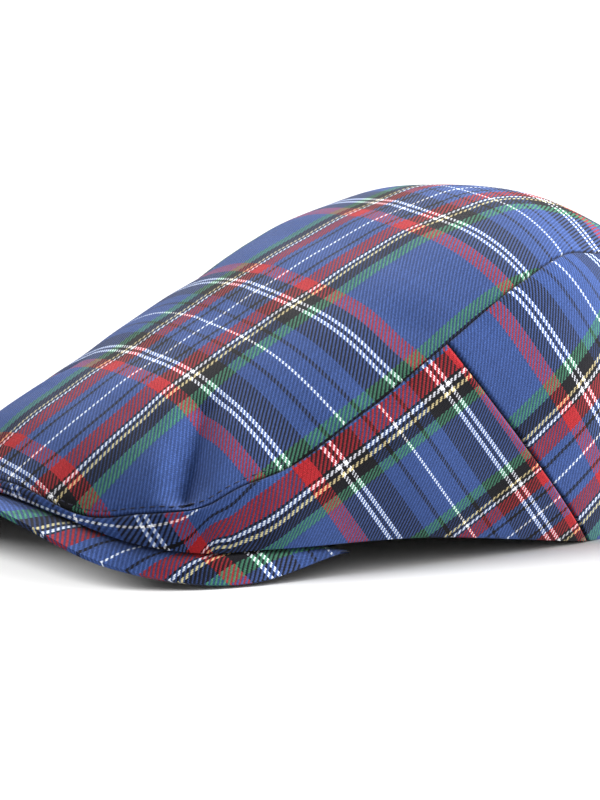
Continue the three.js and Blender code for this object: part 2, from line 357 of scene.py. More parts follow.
def spaced(cells, length, sewn_first, sewn_last):
    """Shares from 0 to 1, evenly spaced but closer together towards a sewn end."""
    fine = np.array(FINE_STEPS) / length
    first = fine if sewn_first else fine[:1]
    last = 1 - (fine if sewn_last else fine[:1])[::-1]
    inner = cells + 1 - len(first) - len(last)
    middle = np.linspace(first[-1], last[0], inner + 2)[1:-1]
    return np.concatenate([first, middle, last])


def grid_of(surface, name, seams=()):
    """Points of a surface; seams lists its sewn edges by their numbers in ALL_EDGES."""
    grid = GRIDS[name]
    along = spaced(grid["cells"][0], grid["lengths"][0], 0 in seams, 1 in seams)
    across = spaced(grid["cells"][1], grid["lengths"][1], 2 in seams, 3 in seams)
    return surface(*np.meshgrid(along, across, indexing="ij"))


def steps_from_edge(points, axis):
    """Distance of each grid point from the grid's first edge, measured along the cloth."""
    lengths = np.linalg.norm(np.diff(points, axis=axis), axis=-1)
    total = np.cumsum(lengths, axis=axis)
    start = np.zeros_like(np.take(total, [0], axis=axis))
    return np.concatenate([start, total], axis=axis)


def edge_distances(points):
    """Distances from the four edges, in the order of ALL_EDGES."""
    along = steps_from_edge(points, 0)
    across = steps_from_edge(points, 1)
    return along, along[-1:, :] - along, across, across[:, -1:] - across


def run_along(path):
    """Distance of each point of a path from its first one, along the path."""
    return np.concatenate([[0], np.cumsum(np.linalg.norm(np.diff(path, axis=0), axis=1))])


def outward_normals(points):
    normal = np.cross(np.gradient(points, axis=0), np.gradient(points, axis=1))
    normal = unit(normal)
    inside = points.reshape(-1, 3).mean(0) - np.array([0, 0, INSIDE_DROP])
    facing = np.sum(normal * (points - inside), -1).mean()
    return normal if facing > 0 else -normal


def slow_waves(points, seed, height, length):
    """A few crossing waves that keep the cloth from lying dead flat."""
    draw = np.random.default_rng(seed)
    total = np.zeros(points.shape[:-1])
    for _ in range(WAVE_COUNT):
        heading = unit(draw.normal(size=3))
        turns = (points @ heading) * 2 * math.pi / (length * draw.uniform(*WAVE_SPREAD))
        total += np.sin(turns + draw.uniform(0, 2 * math.pi))
    return height * total / math.sqrt(WAVE_COUNT)


def seam_distance(points, seams):
    distances = edge_distances(points)
    return np.min([distances[k] for k in seams], axis=0)


def soften(points, seams, seed, groove=0.0):
    """Rolls the sewn edges in, lets the cloth pucker beside them and gives it slow waves."""
    normal = outward_normals(points)
    nearest = seam_distance(points, seams)
    inside = np.clip(SEAM_ROLL - nearest, 0, SEAM_ROLL)
    move = np.sqrt(SEAM_ROLL**2 - inside**2) - SEAM_ROLL
    waves = slow_waves(points, seed, WAVES["height"], WAVES["length"])
    move += waves * (1 - np.exp(-nearest / WAVES["seam_fade"]))
    puckers = slow_waves(points, seed + 1, PUCKERS["height"], PUCKERS["length"])
    puckers = puckers * np.exp(-nearest / PUCKERS["reach"])
    move += puckers * (1 - np.exp(-nearest / PUCKERS["seam_fade"]))
    return points + normal * (move - groove)[..., None]


# Where the check lies on each panel, in threads

THREAD = 0.43  # mm from thread to thread
READ_UNIT = 0.52  # mm, the step in which the stripes' places below were read
THREADS_PER_UNIT = READ_UNIT / THREAD

# How the check lies on the top panel, by mm along it: how far its middle white stripe runs off
# the centre line, its stretch across, its extra closing at the side edges, its shift along,
# and how much its weft lines bow there
TOP_CHECK = [
    dict(along=-12, off=3.9, across=0.93, edge=2.0, shift=1.2, bow=1.0),
    dict(along=8, off=7.3, across=0.93, edge=2.0, shift=2.3, bow=1.0),
    dict(along=26, off=7.3, across=0.94, edge=3.0, shift=2.75, bow=1.0),
    dict(along=42, off=5.4, across=0.97, edge=3.6, shift=3.0, bow=1.0),
    dict(along=52, off=4.2, across=0.978, edge=3.5, shift=2.8, bow=1.0),
    dict(along=62, off=3.1, across=0.978, edge=2.9, shift=1.8, bow=1.0),
    dict(along=72, off=2.3, across=0.978, edge=2.0, shift=0.9, bow=1.0),
    dict(along=99, off=0.8, across=0.978, edge=1.6, shift=-0.1, bow=1.0),
    dict(along=136, off=-1.9, across=0.978, edge=3.2, shift=0.3, bow=0.3),
    dict(along=164, off=1.9, across=0.978, edge=6.5, shift=1.0, bow=-0.8),
]
TOP_WEFT_START = 71.4  # mm along the top panel to its first single white weft line
TOP_ALONG_SHARE = 0.987  # stretch of the check along the panel
TOP_LEAN = 0.012  # how far the weft lines lean forwards to the left
TOP_EDGE = dict(start=34.0, span=40.0)  # mm from the middle where the sides' closing begins, and its reach
TOP_BOW = dict(middle=30.0, far=-38.0, rate=0.00205)  # the weft lines bow most to the left of the middle
FAR_CLOSING = dict(start=10.0, share=0.35)  # the check closes up on the right half
TOP_LINE = dict(first_y=-123, last_y=110, zero_y=-110, steps=2400)  # centre line that measures the panel
SECTION_STEPS = 48


def top_threads(points):
    """Warp and weft threads at each point of the top panel, counted from its middle white lines."""
    x, y = points[..., 0], points[..., 1]
    line_y = np.linspace(TOP_LINE["first_y"], TOP_LINE["last_y"], TOP_LINE["steps"])
    line = run_along(np.stack([line_y, crest_at(line_y)], -1))
    line -= np.interp(TOP_LINE["zero_y"], line_y, line)
    along = np.interp(y, line_y, line)
    shares = np.linspace(0, 1, SECTION_STEPS + 1)
    section_x = x[..., None] * shares
    section_z = top_height(section_x, np.broadcast_to(y[..., None], section_x.shape))
    across = np.hypot(np.diff(section_x, axis=-1), np.diff(section_z, axis=-1)).sum(-1) * np.sign(x)
    place = np.clip(along, TOP_CHECK[0]["along"], TOP_CHECK[-1]["along"])
    off, stretch, edge, shift, bow = (
        smooth_column(TOP_CHECK, "along", name)(place) for name in ("off", "across", "edge", "shift", "bow")
    )
    near_edge = np.maximum(np.abs(across) - TOP_EDGE["start"], 0) / TOP_EDGE["span"]
    warp = across * stretch - off + np.sign(x) * edge * near_edge
    warp = warp + FAR_CLOSING["share"] * np.minimum(across + FAR_CLOSING["start"], 0)
    aside = np.maximum(across - TOP_BOW["middle"], TOP_BOW["far"])
    bend = TOP_BOW["rate"] * aside**2 * np.where(aside > 0, bow, 1.0)
    weft = along * TOP_ALONG_SHARE + x * TOP_LEAN + shift - bend - TOP_WEFT_START
    return np.stack([warp, weft], -1) / THREAD


RIM_READ = dict(first=-0.05, last=0.75, steps=3300)  # turns round the rim that the walls are read along
READ_BLOCKS = 40  # the points are read in blocks, to spare memory
RIM_HALF_STEPS = 2000


def nearest_of(points, path):
    """The number of the path's point that lies nearest to each of the points."""
    return np.argmin(np.sum((points[:, None] - path[None]) ** 2, -1), 1)


def unrolled(points):
    """Distance round the rim and height up the wall of each point of a wall grid."""
    turns = np.linspace(RIM_READ["first"], RIM_READ["last"], RIM_READ["steps"])
    rim = rim_point(turns)[:, :2]
    rim_length = run_along(rim)
    rim_length -= np.interp(0, turns, rim_length)
    flat = points[..., :2].reshape(-1, 2)
    nearest = np.concatenate([nearest_of(block, rim) for block in np.array_split(flat, READ_BLOCKS)])
    heading = unit(np.gradient(rim, axis=0))[nearest]
    beyond = np.sum((flat - rim[nearest]) * heading, -1)
    round_rim = (rim_length[nearest] + beyond).reshape(points.shape[:-1])
    steps = np.linalg.norm(np.diff(points, axis=1), axis=-1)
    rise = np.sqrt(np.maximum(steps**2 - np.diff(round_rim, axis=1) ** 2, 0))
    drop = np.concatenate([np.zeros_like(rise[:, :1]), np.cumsum(rise, axis=1)], 1)
    return round_rim, drop[:, -1:] - drop + points[:, -1:, 2]


# Side panel: height of the white stripe's line on the wall, and stripe units per mm below it, round the rim
SIDE_WARP = [
    dict(round=0, line=23.3, rate=2.2),
    dict(round=20, line=21.3, rate=2.2),
    dict(round=37, line=18.8, rate=2.2),
    dict(round=55, line=17.8, rate=2.3),
    dict(round=65, line=19.2, rate=1.95),
    dict(round=72, line=21.5, rate=2.05),
    dict(round=79, line=26.6, rate=2.7),
    dict(round=86, line=31.3, rate=2.2),
    dict(round=95, line=40.4, rate=1.66),
    dict(round=110, line=49.0, rate=1.66),
    dict(round=230, line=116.7, rate=1.66),
]
SIDE_TUCK = dict(start=45, share=0.6)  # the check closes up where the wall tucks under
SIDE_WEFT = dict(round_share=0.7815, up_share=0.624, start=137.7, rate=1.83)
FRONT_CLOSING = dict(before=105.0, share=0.16)  # the check closes up round the front


def side_threads(points):
    """Warp and weft threads at each point of the left side panel."""
    round_rim, up = unrolled(points)
    line = smooth_column(SIDE_WARP, "round", "line")(round_rim)
    rate = smooth_column(SIDE_WARP, "round", "rate")(round_rim)
    warp = (line - up) * rate
    warp = warp + SIDE_TUCK["share"] * np.maximum(warp - SIDE_TUCK["start"], 0)
    place = round_rim - FRONT_CLOSING["share"] * np.maximum(FRONT_CLOSING["before"] - round_rim, 0)
    weft = SIDE_WEFT["round_share"] * place + SIDE_WEFT["up_share"] * up - SIDE_WEFT["start"]
    return np.stack([warp, weft * SIDE_WEFT["rate"]], -1) * THREADS_PER_UNIT


BACK_START = 205.0  # mm round the rim from which the back panel's cut is laid flat
BACK_LEVEL_FROM = 225.0  # mm round the rim where its stripes begin to level out towards the middle
BACK_CLIMB = math.radians(35.7)
BACK_READ = dict(first=150, last=490, steps=3401)  # mm round the rim, well past both ends of the panel
BACK_WARP = dict(start=53.3, rate=-2.80, bend=0.0012)
BACK_WEFT = dict(start=-127.7, rate=2.37, bend=-0.0006)


def back_threads(points):
    """The back is cut as a crescent, so its stripes climb towards both ends and lie level in the middle."""
    round_rim, up = unrolled(points)
    steps = np.linspace(BACK_READ["first"], BACK_READ["last"], BACK_READ["steps"])
    middle = rim_half_length()
    level = np.clip((steps - middle) / (middle - BACK_LEVEL_FROM), -1, 1)
    eased = level * (3 - level**2) / 2
    heading = BACK_CLIMB * eased
    step = steps[1] - steps[0]
    flat_x = np.cumsum(np.cos(heading)) * step
    flat_y = np.cumsum(np.sin(heading)) * step
    flat_x -= np.interp(BACK_START, steps, flat_x)
    flat_y -= np.interp(BACK_START, steps, flat_y)
    turn = np.interp(round_rim, steps, heading)
    x = np.interp(round_rim, steps, flat_x) - up * np.sin(turn)
    y = np.interp(round_rim, steps, flat_y) + up * np.cos(turn)
    warp = BACK_WARP["start"] + BACK_WARP["rate"] * y + BACK_WARP["bend"] * y**2
    weft = BACK_WEFT["start"] + BACK_WEFT["rate"] * x + BACK_WEFT["bend"] * x**2
    return np.stack([warp, weft], -1)


def rim_half_length():
    rim = rim_point(np.linspace(0, 0.5, RIM_HALF_STEPS))[:, :2]
    return run_along(rim)[-1]


# Peak: thread counts from a point's place once its slope is laid level, with the check turned a little
PEAK_WARP = dict(start=-88.7, along_x=1.36, cube_x=1.46e-4, along_y=0.60, from_y=-90.0)
PEAK_BIAS = dict(start=15.0, share=0.18)  # sideways drift of the check for each mm out from the lip
PEAK_WEFT = dict(start=-38.1, along_x=-0.67, from_x=71.0, along_y=1.8, from_y=-69.0)


def peak_threads(points):
    x, y = points[..., 0], points[..., 1]
    warp = PEAK_WARP["start"] + PEAK_WARP["along_x"] * x + PEAK_WARP["cube_x"] * x**3
    warp = warp + PEAK_WARP["along_y"] * (y - PEAK_WARP["from_y"])
    weft = PEAK_WEFT["start"] + PEAK_WEFT["along_x"] * (x - PEAK_WEFT["from_x"])
    weft = weft + PEAK_WEFT["along_y"] * (y - PEAK_WEFT["from_y"])
    return np.stack([warp, weft], -1)


# Cloth shells

def deselect():
    if bpy.context.object and bpy.context.object.mode != "OBJECT":
        bpy.ops.object.mode_set(mode="OBJECT")
    bpy.ops.object.select_all(action="DESELECT")


def apply_modifier(piece, name, kind, **settings):
    modifier = piece.modifiers.new(name, kind)
    for key, value in settings.items():
        setattr(modifier, key, value)
    bpy.ops.object.modifier_apply(modifier=modifier.name)


OUTLINE_STEPS = 2001


def place_shift():
    """How far the tables' frame lies from the solids' frame, along the cap."""
    low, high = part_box("crown_top")
    edge = seam_point(np.linspace(0, 1, OUTLINE_STEPS))
    return (low.y + high.y) / 2 / MM - (edge[:, 1].min() + edge[:, 1].max()) / 2


SHIFT = np.array([0, place_shift(), 0])


def lay_grid(name, points, threads, shade, fullness):
    """A grid of points as a mesh facing outwards, with its threads, its painted shade and its fullness."""
    deselect()
    rows, columns = points.shape[0] - 1, points.shape[1] - 1
    bpy.ops.mesh.primitive_grid_add(x_subdivisions=rows, y_subdivisions=columns, size=1, calc_uvs=True)
    piece = bpy.context.object
    piece.name = name
    mesh = piece.data
    mesh.name = name
    flat = np.empty(len(mesh.vertices) * 3)
    mesh.vertices.foreach_get("co", flat)
    flat = flat.reshape(-1, 3)
    row = np.rint((flat[:, 0] + 0.5) * rows).astype(int)
    col = np.rint((flat[:, 1] + 0.5) * columns).astype(int)
    mesh.vertices.foreach_set("co", ((points[row, col] + SHIFT) * MM).ravel())
    corner = np.empty(len(mesh.loops), int)
    mesh.loops.foreach_get("vertex_index", corner)
    mesh.uv_layers[0].name = "threads"
    mesh.uv_layers[0].data.foreach_set("uv", threads[row, col][corner].ravel())
    mesh.attributes.new("painted_shade", "FLOAT", "POINT").data.foreach_set("value", shade[row, col])
    group = piece.vertex_groups.new(name="fullness")
    for index, weight in enumerate(fullness[row, col]):
        group.add([index], weight, "REPLACE")
    mesh.update()
    normals = np.empty(len(mesh.vertices) * 3)
    mesh.vertex_normals.foreach_get("vector", normals)
    if np.sum(normals.reshape(-1, 3) * outward_normals(points)[row, col]) < 0:
        bpy.ops.object.mode_set(mode="EDIT")
        bpy.ops.mesh.select_all(action="SELECT")
        bpy.ops.mesh.flip_normals()
        bpy.ops.object.mode_set(mode="OBJECT")
    return piece


def thicken(piece, thickness, edge_round, materials):
    for material in materials:
        piece.data.materials.append(material)
    apply_modifier(
        piece, "wall", "SOLIDIFY", thickness=thickness * MM, offset=-1, material_offset=1,
        vertex_group="fullness",
    )
    apply_modifier(
        piece, "turned edge", "BEVEL", width=edge_round * MM, segments=4, limit_method="ANGLE",
        angle_limit=math.radians(55),
    )
    bpy.ops.object.shade_smooth()
    # No edge sinks into the floor
    for vertex in piece.data.vertices:
        vertex.co.z = max(vertex.co.z, 0.0)


def cloth_panel(name, node, points, seams, seed, threads, groove=0.0):
    """One sewn cloth panel of the crown."""
    soft = soften(points, seams, seed, groove)
    # painted shade: darkens the colour close to each seam, where shade falls
    shade = np.exp(-((seam_distance(points, seams) / SEAM_SHADE_WIDTH) ** 2))
    piece = lay_grid(name, soft, threads, shade, np.ones_like(shade))
    thicken(piece, CLOTH_THICKNESS, EDGE_ROUND, (tartan_cloth, shade_dark_inner_cloth))
    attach(piece, "root")
    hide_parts(node)
    return piece


# Materials

# Stripes of half a repeat in threads, from the middle of the white line
WARP_STRIPES = [
    ("white", 1), ("blue", 15), ("black", 3), ("blue", 7), ("red", 16), ("black", 2), ("white", 3),
    ("black", 3), ("yellow", 3), ("black", 12), ("green", 12), ("blue", 44),
]
WEFT_STRIPES = [
    ("white", 1), ("shaded_blue", 11), ("black", 3), ("shaded_blue", 11), ("black", 16), ("white", 3), ("black", 3),
    ("white", 3), ("black", 11), ("red", 13), ("shaded_blue", 42),
]
# The two blues are one blue yarn, painted lighter in the warp and darker in the weft as light and shade on
# the twill's ribs.
YARNS = {
    "blue": (0.049, 0.098, 0.304),
    "shaded_blue": (0.022, 0.046, 0.146),
    "red": (0.385, 0.016, 0.022),
    "green": (0.050, 0.220, 0.118),
    "black": (0.005, 0.005, 0.008),
    "white": (0.950, 0.965, 1.000),
    "yellow": (0.760, 0.610, 0.270),
}

# The twill and its threads
TWILL_REPEAT = 4
WARP_FLOAT = 2.3  # weft threads that a warp thread covers in each repeat: the warp lies a little closer
UNDER_SHARE = 0.12  # how much of the thread below shows through the fluffy one above
VARIATION = dict(amount=0.3, warp_start=0.37, weft_start=91.41)  # of the colour from thread to thread
WOBBLE = dict(scale=0.9, detail=3)  # the noise by which the threads' edges stray
FUZZ = 0.34  # how widely they stray, in threads
FIBRES = dict(scale=0.8, detail=3, gain=1.3, base=0.42, height=0.2)
THREAD_ROUNDNESS = 0.5  # power that rounds a thread's back
GAP_SHADE = 0.68  # how far the painted shade of the weave's relief darkens the gaps between the threads
SEAM_SHADE = 0.6  # how far the painted shade darkens the cloth's colour, in the seams and, on the peak, at its tips and under its lip

# Finishes; a bump's height is in mm
SPECULAR = 0.09
SHEEN_ROUGHNESS = 0.5
TARTAN_FINISH = dict(roughness=0.92, sheen=0.07)
TARTAN_BUMP = dict(strength=0.55, height=0.16)
# painted shade: the inner faces, the peak's underside among them, are near black to stand for the shadow
# inside and under the cap
INNER_SHADE_COLOUR = (0.020, 0.019, 0.022)
INNER_FINISH = dict(roughness=0.95, sheen=0.05)
INNER_BUMP = dict(strength=0.4, height=0.12)
INNER_CLOUDS = dict(scale=0.05, detail=3, dark_share=0.6, weave_share=0.5)
SEWING_COLOUR = (0.015, 0.018, 0.045)
SEWING_FINISH = dict(roughness=0.6, sheen=0.2)
SEWING_FIBRES = dict(scale=2600, detail=2, dark_share=0.45)


class Nodes:
    """Short ways to add and join shader nodes in one tree."""

    def __init__(self, tree):
        self.tree = tree

    def add(self, kind, **settings):
        node = self.tree.nodes.new(kind)
        for key, value in settings.items():
            setattr(node, key, value)
        return node

    def join(self, source, target):
        self.tree.links.new(source, target)

    def put(self, socket, value):
        if isinstance(value, bpy.types.NodeSocket):
            self.join(value, socket)
        else:
            socket.default_value = value

    def math(self, operation, a, b=0.0):
        node = self.add("ShaderNodeMath", operation=operation)
        self.put(node.inputs[0], a)
        self.put(node.inputs[1], b)
        return node.outputs[0]

    def mix(self, factor, a, b, blend="MIX"):
        """Two colours mixed; a Mix node numbers its colour sockets 6 and 7, and 2 going out."""
        node = self.add("ShaderNodeMix", data_type="RGBA", blend_type=blend)
        self.put(node.inputs["Factor"], factor)
        self.put(node.inputs[6], a)
        self.put(node.inputs[7], b)
        return node.outputs[2]

    def gamma(self, colour, power):
        node = self.add("ShaderNodeGamma")
        self.put(node.inputs["Color"], colour)
        self.put(node.inputs["Gamma"], power)
        return node.outputs[0]

    def noise(self, vector, scale, detail=2.0):
        node = self.add("ShaderNodeTexNoise")
        self.put(node.inputs["Vector"], vector)
        node.inputs["Scale"].default_value = scale
        node.inputs["Detail"].default_value = detail
        return node


def new_group(name, inputs, outputs):
    tree = bpy.data.node_groups.new(name, "ShaderNodeTree")
    for label, kind, value in inputs:
        socket = tree.interface.new_socket(label, in_out="INPUT", socket_type=kind)
        if value is not None:
            socket.default_value = value
    for label, kind in outputs:
        tree.interface.new_socket(label, in_out="OUTPUT", socket_type=kind)
    nodes = Nodes(tree)
    return tree, nodes, nodes.add("NodeGroupInput"), nodes.add("NodeGroupOutput")


def stripe_colour(nodes, thread, stripes):
    """Colour of the thread with this number, in a stripe order that runs out and back."""
    half = sum(width for _, width in stripes)
    place = nodes.math("PINGPONG", nodes.math("ADD", thread, 0.5), half)
    ramp = nodes.add("ShaderNodeValToRGB")
    ramp.color_ramp.interpolation = "CONSTANT"
    nodes.join(nodes.math("DIVIDE", place, half), ramp.inputs[0])
    elements = ramp.color_ramp.elements
    done = 0
    for k, (yarn, width) in enumerate(stripes):
        element = elements[0] if k == 0 else elements[1] if k == 1 else elements.new(done / half)
        element.position = done / half
        element.color = (*YARNS[yarn], 1)
        done += width
    return ramp.outputs[0]


def thread_variation(nodes, thread, amount, offset):
    """A little more or less colour in each thread."""
    noise = nodes.add("ShaderNodeTexWhiteNoise", noise_dimensions="1D")
    nodes.join(nodes.math("ADD", thread, offset), noise.inputs["W"])
    return nodes.math("ADD", nodes.math("MULTIPLY", noise.outputs[0], amount), 1 - amount / 2)


def arch(nodes, share):
    """A round-backed profile: 0 at shares 0 and 1, and 1 in the middle."""
    side = nodes.math("SUBTRACT", nodes.math("MULTIPLY", share, 2), 1)
    return nodes.math("SUBTRACT", 1, nodes.math("MULTIPLY", side, side))


def tartan_group():
    """A two-over-two twill in the check's colours, from a UV map counted in threads, with the shade of its
    relief painted into the colour.
    """
    tree, nodes, given, out = new_group(
        "tartan twill",
        [
            ("Threads", "NodeSocketVector", None),
            ("Fuzz", "NodeSocketFloat", FUZZ),
            ("Gap Shade", "NodeSocketFloat", GAP_SHADE),
        ],
        [("Color", "NodeSocketColor"), ("Height", "NodeSocketFloat")],
    )
    wobble = nodes.noise(given.outputs["Threads"], WOBBLE["scale"], WOBBLE["detail"])
    centred = nodes.add("ShaderNodeVectorMath", operation="SUBTRACT")
    nodes.join(wobble.outputs["Color"], centred.inputs[0])
    centred.inputs[1].default_value = (0.5, 0.5, 0.5)
    scaled = nodes.add("ShaderNodeVectorMath", operation="SCALE")
    nodes.join(centred.outputs[0], scaled.inputs[0])
    nodes.join(given.outputs["Fuzz"], scaled.inputs["Scale"])
    moved = nodes.add("ShaderNodeVectorMath", operation="ADD")
    nodes.join(given.outputs["Threads"], moved.inputs[0])
    nodes.join(scaled.outputs[0], moved.inputs[1])
    split = nodes.add("ShaderNodeSeparateXYZ")
    nodes.join(moved.outputs[0], split.inputs[0])
    u, v = split.outputs[0], split.outputs[1]
    warp_thread = nodes.math("FLOOR", u)
    weft_thread = nodes.math("FLOOR", v)
    warp_float = nodes.math("FLOORED_MODULO", nodes.math("ADD", warp_thread, v), TWILL_REPEAT)
    weft_float = nodes.math("FLOORED_MODULO", nodes.math("ADD", weft_thread, u), TWILL_REPEAT)
    warp_on_top = nodes.math("LESS_THAN", warp_float, WARP_FLOAT)
    warp_arch = nodes.math(
        "MULTIPLY",
        arch(nodes, nodes.math("FRACT", u)),
        arch(nodes, nodes.math("DIVIDE", warp_float, WARP_FLOAT)),
    )
    weft_arch = nodes.math(
        "MULTIPLY",
        arch(nodes, nodes.math("FRACT", v)),
        arch(nodes, nodes.math("SUBTRACT", nodes.math("DIVIDE", weft_float, TWILL_REPEAT / 2), 1)),
    )
    pick = nodes.add("ShaderNodeMix", data_type="FLOAT")
    nodes.join(warp_on_top, pick.inputs[0])
    nodes.join(weft_arch, pick.inputs[2])
    nodes.join(warp_arch, pick.inputs[3])
    height = nodes.math("POWER", nodes.math("MAXIMUM", pick.outputs[0], 0.0), THREAD_ROUNDNESS)
    warp_shade = thread_variation(nodes, warp_thread, VARIATION["amount"], VARIATION["warp_start"])
    weft_shade = thread_variation(nodes, weft_thread, VARIATION["amount"], VARIATION["weft_start"])
    weft_colour = stripe_colour(nodes, weft_thread, WEFT_STRIPES)
    warp_colour = stripe_colour(nodes, warp_thread, WARP_STRIPES)
    above = nodes.gamma(nodes.mix(warp_on_top, weft_colour, warp_colour), 1 - UNDER_SHARE)
    below = nodes.gamma(nodes.mix(warp_on_top, warp_colour, weft_colour), UNDER_SHARE)
    colour = nodes.mix(1.0, above, below, "MULTIPLY")
    shade = nodes.add("ShaderNodeMix", data_type="FLOAT")
    nodes.join(warp_on_top, shade.inputs[0])
    nodes.join(weft_shade, shade.inputs[2])
    nodes.join(warp_shade, shade.inputs[3])
    # painted shade: the colour darkens from each thread's back down into the gaps between threads
    gap_shade = given.outputs["Gap Shade"]
    in_gap = nodes.math("SUBTRACT", 1, gap_shade)
    lit = nodes.math("ADD", nodes.math("MULTIPLY", height, gap_shade), in_gap)
    fibres = nodes.noise(given.outputs["Threads"], FIBRES["scale"], FIBRES["detail"])
    fibre_gain = nodes.math("MULTIPLY", fibres.outputs[0], FIBRES["gain"])
    fibre_shade = nodes.math("ADD", fibre_gain, FIBRES["base"])
    strength = nodes.math("MULTIPLY", nodes.math("MULTIPLY", lit, shade.outputs[0]), fibre_shade)
    scale = nodes.add("ShaderNodeVectorMath", operation="SCALE")
    nodes.join(colour, scale.inputs[0])
    nodes.join(strength, scale.inputs["Scale"])
    nodes.join(scale.outputs[0], out.inputs["Color"])
    nap = nodes.math("MULTIPLY", fibres.outputs[0], FIBRES["height"])
    nodes.join(nodes.math("ADD", height, nap), out.inputs["Height"])
    return tree


def new_material(name, roughness, sheen):
    material = bpy.data.materials.new(name)
    material.use_nodes = True
    nodes = Nodes(material.node_tree)
    shader = material.node_tree.nodes["Principled BSDF"]
    shader.inputs["Roughness"].default_value = roughness
    shader.inputs["Specular IOR Level"].default_value = SPECULAR
    shader.inputs["Sheen Weight"].default_value = sheen
    shader.inputs["Sheen Roughness"].default_value = SHEEN_ROUGHNESS
    return material, nodes, shader


def add_bump(nodes, shader, source, strength, height):
    bump = nodes.add("ShaderNodeBump")
    bump.inputs["Strength"].default_value = strength
    bump.inputs["Distance"].default_value = height * MM
    nodes.join(source, bump.inputs["Height"])
    nodes.join(bump.outputs[0], shader.inputs["Normal"])


def tartan_material(name, group, fuzz, gap_shade):
    material, nodes, shader = new_material(name, **TARTAN_FINISH)
    threads = nodes.add("ShaderNodeUVMap", uv_map="threads")
    weave = nodes.add("ShaderNodeGroup", node_tree=group)
    nodes.join(threads.outputs[0], weave.inputs["Threads"])
    weave.inputs["Fuzz"].default_value = fuzz
    weave.inputs["Gap Shade"].default_value = gap_shade
    # painted shade: this attribute darkens the base colour in the seams, at the peak's tips and under its
    # lip
    seam = nodes.add("ShaderNodeAttribute", attribute_name="painted_shade")
    kept = nodes.math("SUBTRACT", 1, nodes.math("MULTIPLY", seam.outputs["Fac"], SEAM_SHADE))
    shaded = nodes.add("ShaderNodeVectorMath", operation="SCALE")
    nodes.join(weave.outputs["Color"], shaded.inputs[0])
    nodes.join(kept, shaded.inputs["Scale"])
    nodes.join(shaded.outputs[0], shader.inputs["Base Color"])
    add_bump(nodes, shader, weave.outputs["Height"], **TARTAN_BUMP)
    return material


def plain_cloth_material(name, colour):
    """The inner faces: a plain near-black colour with a fine even weave, painted shade that stands for the
    shadow inside and under the cap.
    """
    material, nodes, shader = new_material(name, **INNER_FINISH)
    threads = nodes.add("ShaderNodeUVMap", uv_map="threads")
    split = nodes.add("ShaderNodeSeparateXYZ")
    nodes.join(threads.outputs[0], split.inputs[0])
    weave = nodes.math(
        "MULTIPLY",
        arch(nodes, nodes.math("FRACT", split.outputs[0])),
        arch(nodes, nodes.math("FRACT", split.outputs[1])),
    )
    clouds = nodes.noise(threads.outputs[0], INNER_CLOUDS["scale"], INNER_CLOUDS["detail"])
    dark = tuple(INNER_CLOUDS["dark_share"] * part for part in colour)
    tint = nodes.mix(clouds.outputs[0], (*dark, 1), (*colour, 1))
    weave_share = nodes.math("MULTIPLY", weave, INNER_CLOUDS["weave_share"])
    nodes.join(nodes.mix(weave_share, (*dark, 1), tint), shader.inputs["Base Color"])
    add_bump(nodes, shader, weave, **INNER_BUMP)
    return material


def thread_material(name, colour):
    """Sewing thread: fine fibres, some darker than others."""
    material, nodes, shader = new_material(name, **SEWING_FINISH)
    place = nodes.add("ShaderNodeTexCoord")
    fibres = nodes.noise(place.outputs["Object"], SEWING_FIBRES["scale"], SEWING_FIBRES["detail"])
    dark = tuple(SEWING_FIBRES["dark_share"] * part for part in colour)
    nodes.join(nodes.mix(fibres.outputs[0], (*dark, 1), (*colour, 1)), shader.inputs["Base Color"])
    return material


tartan = tartan_group()
tartan_cloth = tartan_material("tartan cloth", tartan, FUZZ, GAP_SHADE)
peak_cloth = tartan_material("peak cloth", tartan, FUZZ, GAP_SHADE)
shade_dark_inner_cloth = plain_cloth_material("inner cloth in painted shade", INNER_SHADE_COLOUR)
dark_thread = thread_material("dark sewing thread", SEWING_COLOUR)

# The sewn pieces

STITCH_INSET = 1.8
STITCH_LENGTH = 2.1
STITCH_GAP = 0.9
STITCH_RADIUS = 0.22
STITCH_LAST_STATION = 4.7
STITCH_PATH_STEPS = 4001
STITCH_LOOK_AHEAD = 0.5  # mm along the path that give a stitch its heading
STITCH_GROOVE = dict(last_y=-70, fade=12, depth=0.3, width=0.7)


def stitch_groove(points):
    """Depth of the shallow channel that the front top-stitching draws into the top panel."""
    aside = (seam_distance(points, ALL_EDGES) - STITCH_INSET) / STITCH_GROOVE["width"]
    near_front = np.clip((STITCH_GROOVE["last_y"] - points[..., 1]) / STITCH_GROOVE["fade"], 0, 1)
    return near_front * STITCH_GROOVE["depth"] * np.exp(-(aside**2))


def crease_depth(points):
    """Depth of the front corners' creases, less the soft ridge on their front side."""
    start = np.array([CREASE["from_x"], CREASE["from_y"]])
    run = np.array([CREASE["to_x"], CREASE["to_y"]]) - start
    length = np.linalg.norm(run)
    heading = run / length
    off = np.stack([np.abs(points[..., 0]), points[..., 1]], -1) - start
    along = (off @ heading) / length
    aside = off @ np.array([heading[1], -heading[0]])
    past_end = np.maximum(np.maximum(-along, along - 1), 0) * length
    deepening = CREASE["start_share"] + (1 - CREASE["start_share"]) * np.clip(along, 0, 1)
    from_valley = np.hypot(aside, past_end) / CREASE["width"]
    valley = CREASE["depth"] * deepening * np.exp(-(from_valley ** CREASE["power"]))
    from_ridge = np.hypot(aside - CREASE["ridge_off"], past_end) / CREASE["ridge_width"]
    ridge = CREASE["ridge"] * np.exp(-(from_ridge**2))
    fade = 1 - np.exp(-((seam_distance(points, ALL_EDGES) / CREASE["seam_fade"]) ** 2))
    return (valley - ridge) * fade


def make_top():
    points = grid_of(top_surface, "top", ALL_EDGES)
    hollows = stitch_groove(points) + crease_depth(points)
    seed = WAVE_SEEDS["top"]
    return cloth_panel("top_panel", "crown_top", points, ALL_EDGES, seed, top_threads(points), hollows)


